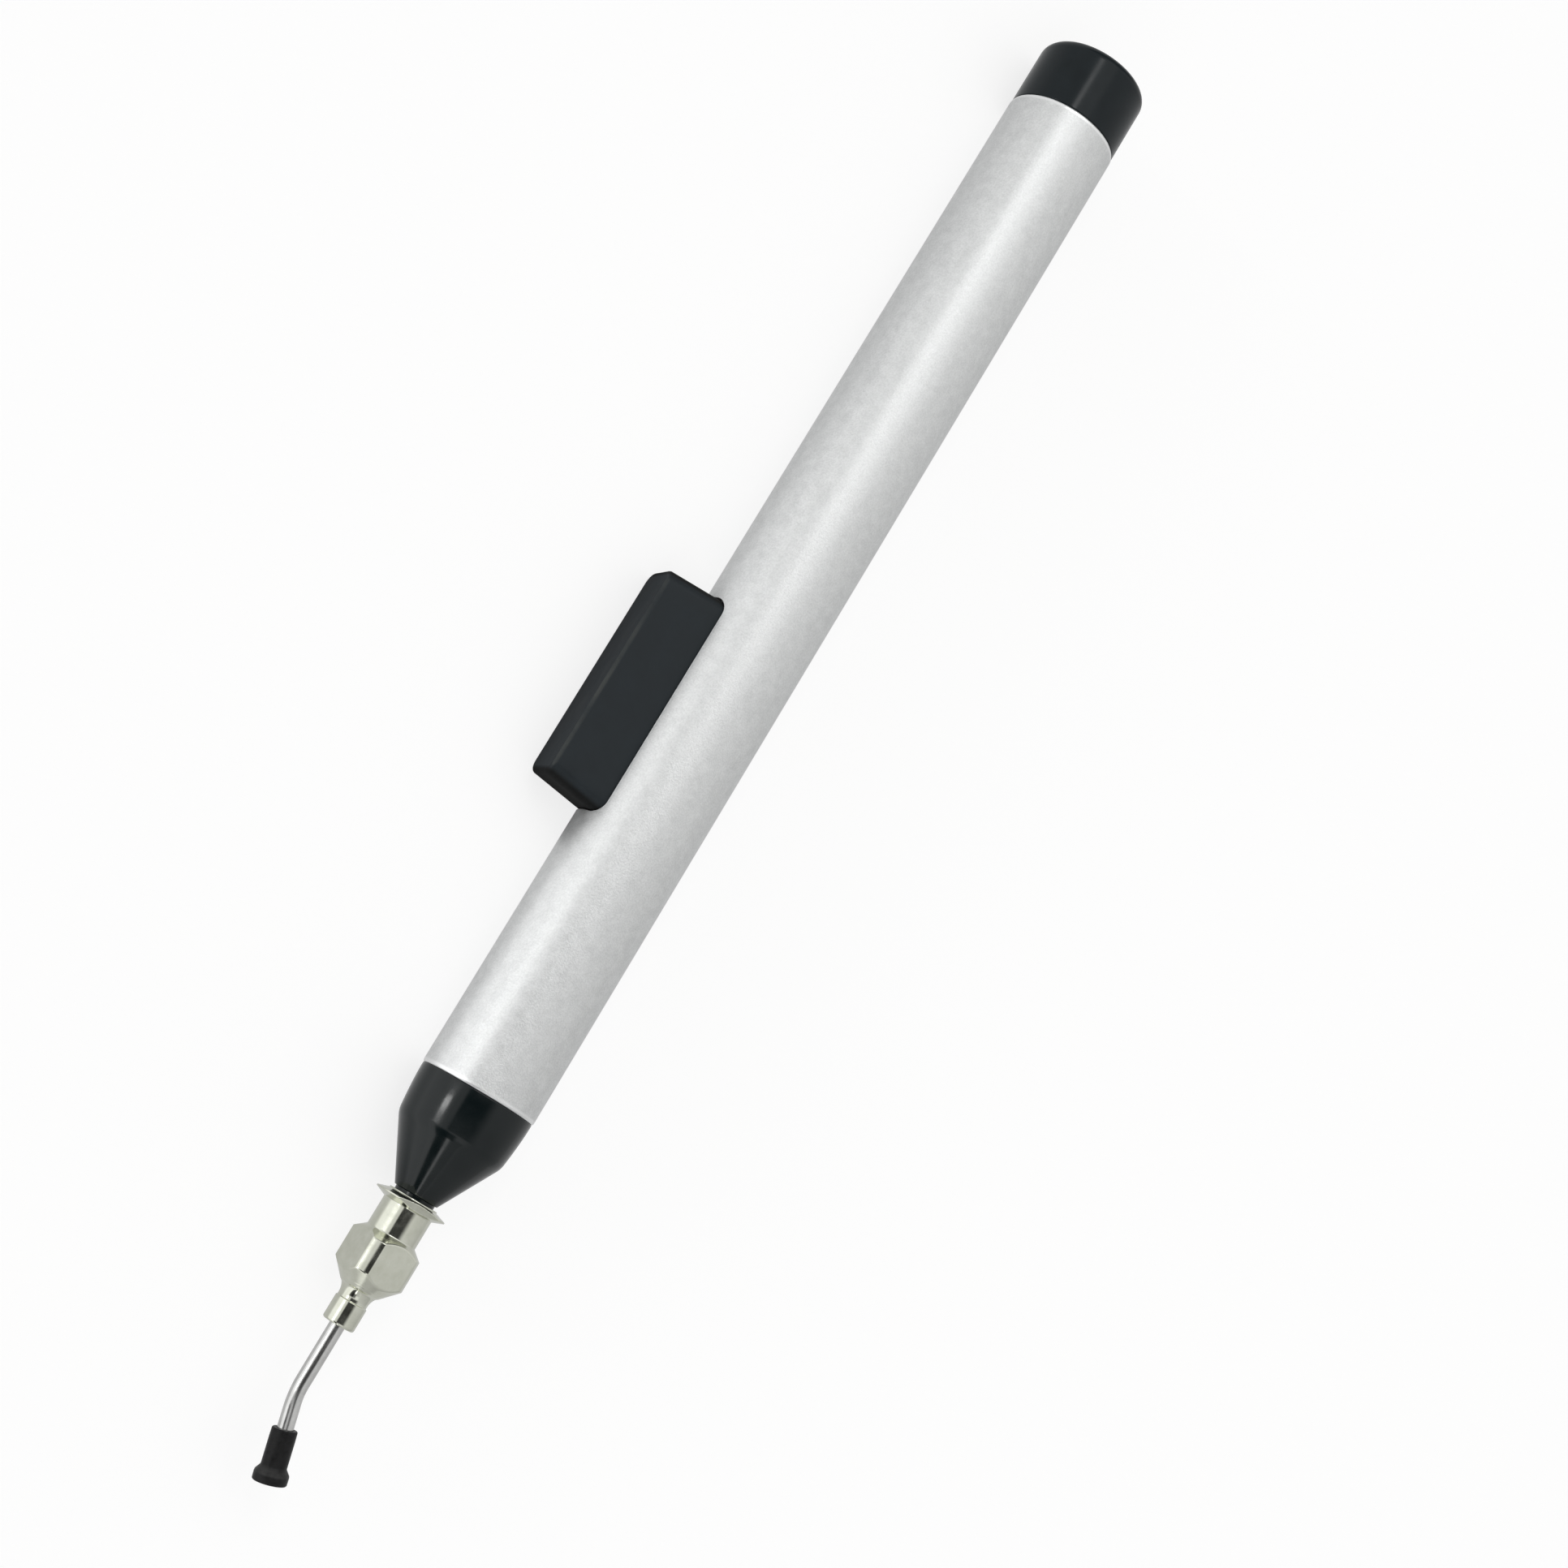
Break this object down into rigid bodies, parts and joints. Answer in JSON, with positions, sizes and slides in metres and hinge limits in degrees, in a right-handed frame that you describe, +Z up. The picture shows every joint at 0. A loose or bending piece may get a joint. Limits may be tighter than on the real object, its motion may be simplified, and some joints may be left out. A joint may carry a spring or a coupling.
{
  "type": "vacuum pick-up pen",
  "caption": "Pen-shaped vacuum pick-up tool: metal barrel, side press button over a squeeze bladder, black cone nose, and a bent steel needle with a small rubber suction cup.",
  "frame": {"origin": "on the floor, under the middle of the pen's bounding box as it lies on its barrel and on one edge of the button", "axes": "+X along the pen towards the rear cap, +Y to the side the button points to, +Z up"},
  "size_m": [0.171, 0.0188, 0.0127],
  "materials": {
    "anodised_aluminium": "satin silver anodised, fine blasted grain",
    "black_cap_plastic": "moulded, semi-gloss black",
    "black_gloss_plastic": "moulded, glossy black",
    "black_satin_plastic": "moulded, satin slate black",
    "natural_nylon": "moulded, natural",
    "silicone": "soft translucent silicone",
    "ring_aluminium": "plain turned",
    "nickel_plate": "nickel plated, polished",
    "stainless": "drawn and polished stainless steel",
    "black_rubber": "matt black moulded rubber"
  },
  "bodies": {
    "pen": {"barrel": "anodised_aluminium", "end_cap": "black_cap_plastic", "nose_cone": "black_gloss_plastic", "bladder": "silicone", "bladder_plug": "black_cap_plastic", "front_ring": "ring_aluminium", "rear_ring": "ring_aluminium"},
    "push_button": {"button": "black_satin_plastic", "press_plate": "natural_nylon"},
    "needle": {"needle_hub": "nickel_plate", "needle_tube": "stainless", "suction_cup": "black_rubber"}
  },
  "joints": [
    {"name": "button_press", "type": "slide", "parent": "pen", "child": "push_button", "axis": [0, -0.9605, 0.2784], "range_m": [0, 0.0032], "stiffness_N_per_m": 800, "springref_m": -0.0005, "deforming": ["bladder"]},
    {"name": "needle_twist", "type": "hinge", "parent": "pen", "child": "needle", "pos_m": [-0.05818, -0.00307, 0.00635], "axis": [1, 0, 0], "continuous": true}
  ]
}
